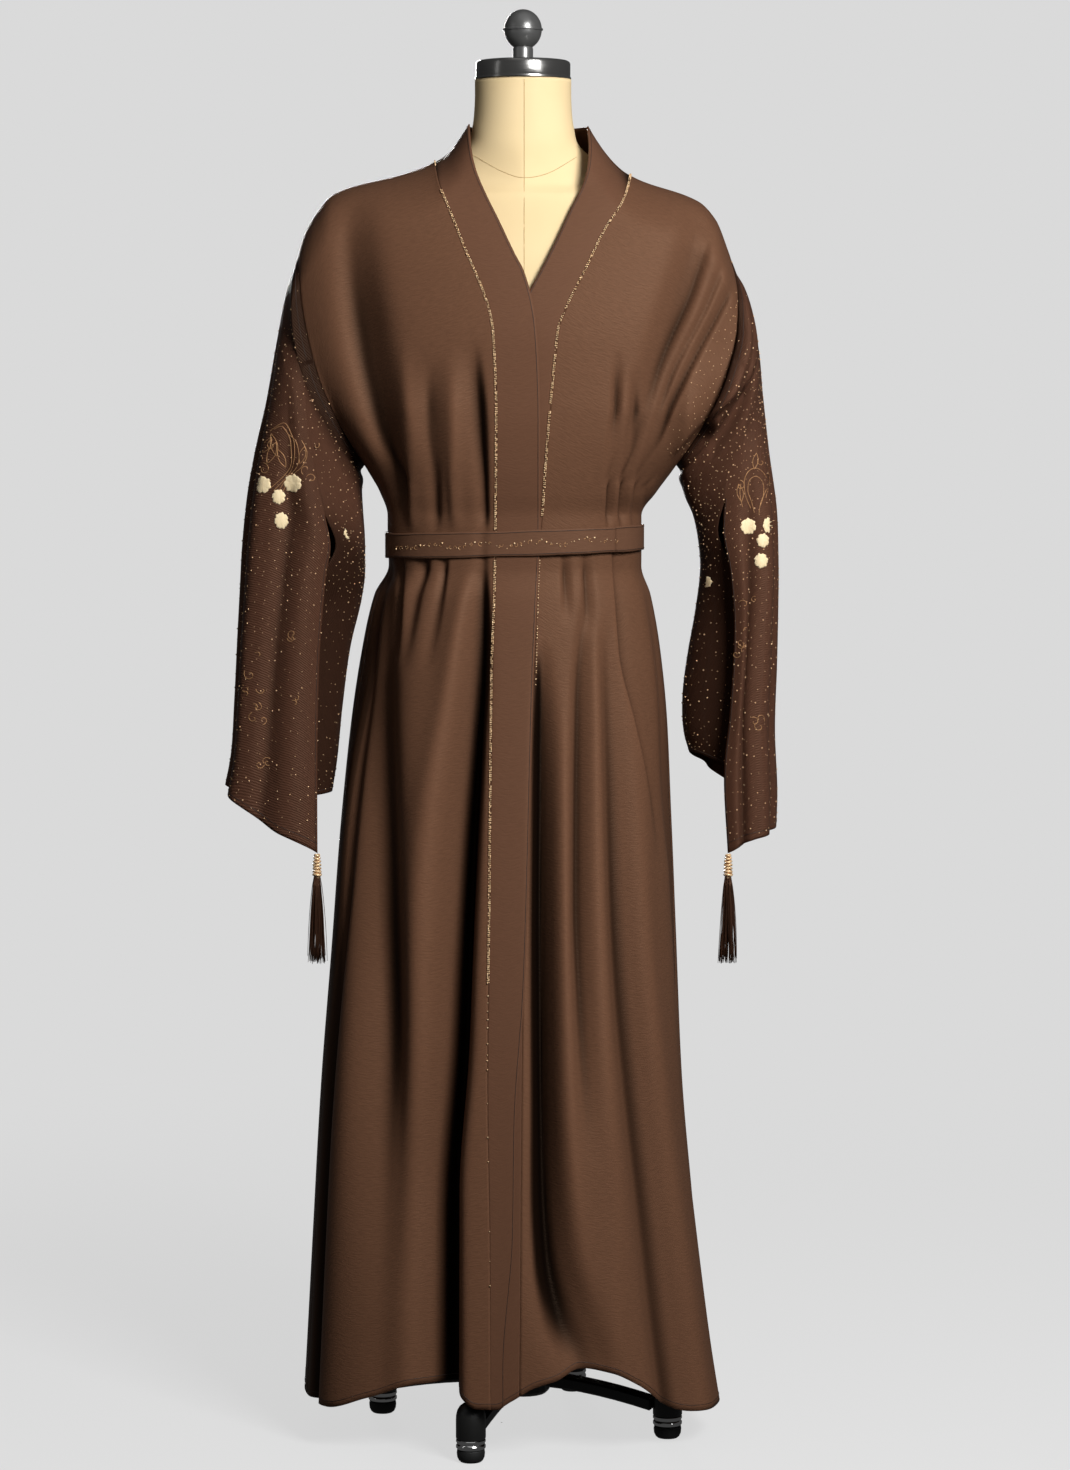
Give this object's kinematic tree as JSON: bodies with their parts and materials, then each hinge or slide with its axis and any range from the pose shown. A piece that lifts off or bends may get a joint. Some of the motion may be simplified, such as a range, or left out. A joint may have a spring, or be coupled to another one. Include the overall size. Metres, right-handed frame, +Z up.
{
  "type": "abaya cloak on a dress form",
  "caption": "Long open-front brown cloak with wrapped neck bands, belt and wide slit sleeves with tassels, worn on a limbless dress form with a legged stand.",
  "frame": {"origin": "on the floor, below the middle of the whole piece's bounding box", "axes": "+Z up, -Y out of the cloak's front, +X towards the wearer's left"},
  "size_m": [0.622, 0.4011, 1.5935],
  "materials": {
    "crepe": "dark brown satin-backed crepe",
    "beaded_crepe": "dark brown crepe strewn with tiny gold beads",
    "satin": "dark brown satin crepe",
    "silk": "twisted dark brown silk strands",
    "linen": "cream jersey stretched over the form",
    "gunmetal": "dark grey satin metal",
    "steel": "brushed",
    "chrome": "polished",
    "black_metal": "black powder coat",
    "rubber": "matt"
  },
  "bodies": {
    "root": {"back": "crepe", "band_left": "satin", "band_right": "satin", "belt": "satin", "finial": "gunmetal", "foot_glide_1": "rubber", "foot_glide_2": "rubber", "foot_glide_3": "rubber", "foot_glide_4": "rubber", "foot_housing_1": "black_metal", "foot_housing_2": "black_metal", "foot_housing_3": "black_metal", "foot_housing_4": "black_metal", "foot_ring_1": "chrome", "foot_ring_2": "chrome", "foot_ring_3": "chrome", "foot_ring_4": "chrome", "form_body": "linen", "front_left": "crepe", "front_right": "crepe", "hub": "black_metal", "leg_1": "black_metal", "leg_2": "black_metal", "leg_3": "black_metal", "leg_4": "black_metal", "neck_cap": "steel", "pole": "black_metal", "sleeve_left": "beaded_crepe", "sleeve_right": "beaded_crepe", "tassel_left": "silk", "tassel_right": "silk"}
  },
  "joints": []
}
